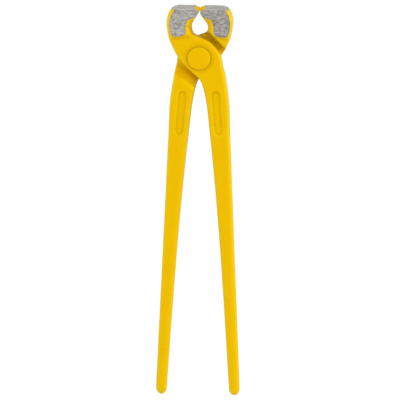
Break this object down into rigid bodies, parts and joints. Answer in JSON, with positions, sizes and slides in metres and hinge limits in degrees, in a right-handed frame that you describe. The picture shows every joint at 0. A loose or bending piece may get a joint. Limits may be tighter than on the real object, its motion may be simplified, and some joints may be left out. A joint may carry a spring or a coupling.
{
  "type": "concreters nippers",
  "caption": "Long-handled concreters nippers: forged levers crossing in a riveted lap joint, with end-cutting jaws for twisting and cutting tie wire.",
  "frame": {"origin": "on the pivot axis, in the plane of the rear rivet head's flat face, which the tool lies on", "axes": "+Z along the pivot axis out of the front face, +Y along the tool towards the jaws, +X to the right as seen from the front"},
  "size_m": [0.0642, 0.3, 0.0214],
  "materials": {
    "yellow_enamel": "semi-gloss enamel over forged steel, with bare ground steel on the jaw faces"
  },
  "bodies": {
    "rear_half": {"rear_lever": "yellow_enamel", "pivot_rivet": "yellow_enamel"},
    "front_half": {"front_lever": "yellow_enamel"}
  },
  "joints": [
    {"name": "jaw_pivot", "type": "hinge", "parent": "rear_half", "child": "front_half", "pos_m": [0, 0, 0.0107], "axis": [0, 0, 1], "range_deg": [0, 30]}
  ]
}
